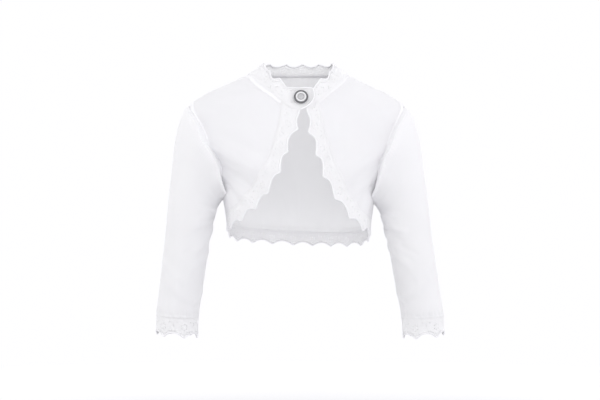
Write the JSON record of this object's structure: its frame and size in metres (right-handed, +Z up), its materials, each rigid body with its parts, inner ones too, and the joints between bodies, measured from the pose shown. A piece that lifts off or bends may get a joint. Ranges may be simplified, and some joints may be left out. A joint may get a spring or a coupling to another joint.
{
  "type": "bolero jacket",
  "caption": "Cropped knit bolero jacket with long sleeves, scalloped lace edges and a round button at the neck, filled out as worn and hollow.",
  "frame": {"origin": "middle of the neck base, level with the inner ends of the shoulder seams, where the wearer's shoulders carry the jacket", "axes": "+X to the wearer's left, -Y out of the front, +Z up"},
  "size_m": [0.4296, 0.1671, 0.4143],
  "materials": {
    "knit": "smooth fine white knit, matt with a soft sheen",
    "lace": "white knitted lace with a raised scalloped edge",
    "antique_silver": "darkened silver-coloured metal with small facets",
    "bright_ring": "bright polished ring",
    "grey_stone": "glossy grey cut stone"
  },
  "bodies": {
    "root": {"back_panel": "knit", "front_panel_right": "knit", "front_panel_left": "knit", "sleeve_right": "knit", "sleeve_left": "knit", "neckband_back": "lace", "neckband_right": "lace", "neckband_left": "lace", "front_lace_right": "lace", "front_lace_left": "lace", "hem_lace_back": "lace", "cuff_lace_right": "lace", "cuff_lace_left": "lace", "button_bezel": "antique_silver", "button_ring": "bright_ring", "button_stone": "grey_stone"}
  },
  "joints": []
}
